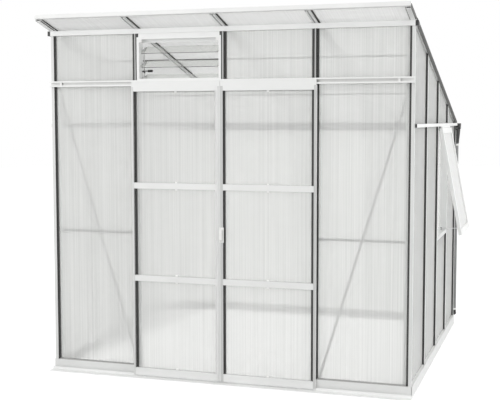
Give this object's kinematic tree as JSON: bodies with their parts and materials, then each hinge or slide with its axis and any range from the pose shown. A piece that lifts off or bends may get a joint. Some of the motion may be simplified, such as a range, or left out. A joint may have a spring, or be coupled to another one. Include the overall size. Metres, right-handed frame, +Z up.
{
  "type": "lean-to greenhouse",
  "caption": "Lean-to greenhouse with a tall sliding-door wall, a roof that falls to a gutter, a louvre window and a top-hung side window.",
  "frame": {"origin": "ground level, at the centre of the four anchor holes in the corner shoes", "axes": "+Z up, +X to the right as seen from the sliding doors, +Y from the door wall towards the low eave with the gutter"},
  "size_m": [2.7102, 2.7348, 2.4447],
  "materials": {
    "white_metal": "satin white powder coat",
    "galvanised_steel": "galvanised",
    "twin_wall_pane": "translucent twin-wall sheet",
    "slat_pane": "translucent sheet",
    "black_seal": "matt",
    "grey_strip": "matt dark grey",
    "black_plastic": "matt black",
    "light_plastic": "light grey",
    "white_plastic": "white",
    "roller_nylon": "natural nylon",
    "grey_pipe": "grey pipe",
    "bare_aluminium": "satin"
  },
  "bodies": {
    "frame": {"base_front": "white_metal", "base_rear_sides": "white_metal", "braces": "galvanised_steel", "corner_posts": "white_metal", "corner_shoes": "galvanised_steel", "door_stops": "black_plastic", "door_track": "white_metal", "downpipe": "grey_pipe", "drain_fittings": "black_plastic", "end_caps": "black_plastic", "front_bars": "white_metal", "front_eave_beam": "white_metal", "front_fascia": "white_metal", "front_panes": "twin_wall_pane", "gable_rafters": "white_metal", "gable_strips": "grey_strip", "inner_rails": "white_metal", "louvre_frame": "white_metal", "pipe_clips": "white_plastic", "rear_bars": "white_metal", "rear_eave_gutter": "white_metal", "rear_panes": "twin_wall_pane", "roof_joint_strips": "grey_strip", "roof_panes": "twin_wall_pane", "roof_rafters": "white_metal", "roof_seals": "black_seal", "side_bars": "white_metal", "side_panes": "twin_wall_pane", "side_rails": "white_metal", "sills": "white_metal", "stay_stud": "black_plastic", "transoms": "white_metal", "wall_seals": "black_seal", "window_surround": "white_metal"},
    "door_left": {"door_left_frame": "white_metal", "door_left_panes": "twin_wall_pane", "door_left_seals": "black_seal", "door_left_glides": "white_plastic", "door_left_clips": "white_plastic"},
    "door_right": {"door_right_frame": "white_metal", "door_right_panes": "twin_wall_pane", "door_right_seals": "black_seal", "door_right_glides": "white_plastic", "door_handle": "white_plastic", "door_right_clips": "white_plastic"},
    "roller_left_inner": {"door_left_inner_roller": "roller_nylon"},
    "roller_left_outer": {"door_left_outer_roller": "roller_nylon"},
    "roller_right_inner": {"door_right_inner_roller": "roller_nylon"},
    "roller_right_outer": {"door_right_outer_roller": "roller_nylon"},
    "slat_top": {"louvre_slat_top": "slat_pane", "louvre_clips_top": "light_plastic"},
    "slat_middle": {"louvre_slat_middle": "slat_pane", "louvre_clips_middle": "light_plastic"},
    "slat_low": {"louvre_slat_low": "slat_pane", "louvre_clips_low": "light_plastic"},
    "louvre_link": {"louvre_link": "light_plastic"},
    "louvre_lever": {"louvre_lever": "black_plastic"},
    "side_window": {"window_sash": "white_metal", "window_pane": "twin_wall_pane"},
    "window_stay": {"window_stay": "bare_aluminium"}
  },
  "joints": [
    {"name": "door_left_slide", "type": "slide", "parent": "frame", "child": "door_left", "axis": [-1, 0, 0], "range_m": [0, 0.6]},
    {"name": "roller_left_inner_spin", "type": "hinge", "parent": "door_left", "child": "roller_left_inner", "pos_m": [-0.10325, -1.23375, 1.9903], "axis": [0, 1, 0], "continuous": true},
    {"name": "roller_left_outer_spin", "type": "hinge", "parent": "door_left", "child": "roller_left_outer", "pos_m": [-0.54325, -1.23375, 1.9903], "axis": [0, 1, 0], "continuous": true},
    {"name": "door_right_slide", "type": "slide", "parent": "frame", "child": "door_right", "axis": [1, 0, 0], "range_m": [0, 0.6]},
    {"name": "roller_right_inner_spin", "type": "hinge", "parent": "door_right", "child": "roller_right_inner", "pos_m": [0.09425, -1.23375, 1.9903], "axis": [0, 1, 0], "continuous": true},
    {"name": "roller_right_outer_spin", "type": "hinge", "parent": "door_right", "child": "roller_right_outer", "pos_m": [0.53425, -1.23375, 1.9903], "axis": [0, 1, 0], "continuous": true},
    {"name": "slat_top_tilt", "type": "hinge", "parent": "frame", "child": "slat_top", "pos_m": [-0.31, -1.162, 2.213], "axis": [-1, 0, 0], "range_deg": [-58, 20]},
    {"name": "slat_middle_tilt", "type": "hinge", "parent": "frame", "child": "slat_middle", "pos_m": [-0.31, -1.162, 2.1195], "axis": [-1, 0, 0], "range_deg": [-58, 20]},
    {"name": "slat_low_tilt", "type": "hinge", "parent": "frame", "child": "slat_low", "pos_m": [-0.31, -1.162, 2.026], "axis": [-1, 0, 0], "range_deg": [-58, 20]},
    {"name": "louvre_lever_swing", "type": "hinge", "parent": "frame", "child": "louvre_lever", "pos_m": [-0.31, -1.162, 2.07275], "axis": [-1, 0, 0], "range_deg": [-58, 20]},
    {"name": "louvre_link_swing", "type": "hinge", "parent": "slat_top", "child": "louvre_link", "pos_m": [-0.5875, -1.13931, 2.20519], "axis": [-1, 0, 0], "range_deg": [-20, 58]},
    {"name": "side_window_swing", "type": "hinge", "parent": "frame", "child": "side_window", "pos_m": [1.265, 0.302, 1.69], "axis": [0, -1, 0], "range_deg": [-10.9, 10]},
    {"name": "window_stay_swing", "type": "hinge", "parent": "side_window", "child": "window_stay", "pos_m": [1.40193, 0.534, 0.89963], "axis": [0, -1, 0], "range_deg": [-6.1, 6.6]}
  ],
  "couplings": [
    {"joint": "roller_left_inner_spin", "follows": "door_left_slide", "rad_per_m": -76.923},
    {"joint": "roller_left_outer_spin", "follows": "door_left_slide", "rad_per_m": -76.923},
    {"joint": "roller_right_inner_spin", "follows": "door_right_slide", "rad_per_m": 76.923},
    {"joint": "roller_right_outer_spin", "follows": "door_right_slide", "rad_per_m": 76.923},
    {"joint": "slat_middle_tilt", "follows": "slat_top_tilt", "ratio": 1},
    {"joint": "slat_low_tilt", "follows": "slat_top_tilt", "ratio": 1},
    {"joint": "louvre_lever_swing", "follows": "slat_top_tilt", "ratio": 1},
    {"joint": "louvre_link_swing", "follows": "slat_top_tilt", "ratio": -1},
    {"joint": "window_stay_swing", "follows": "side_window_swing", "ratio": -0.6}
  ]
}
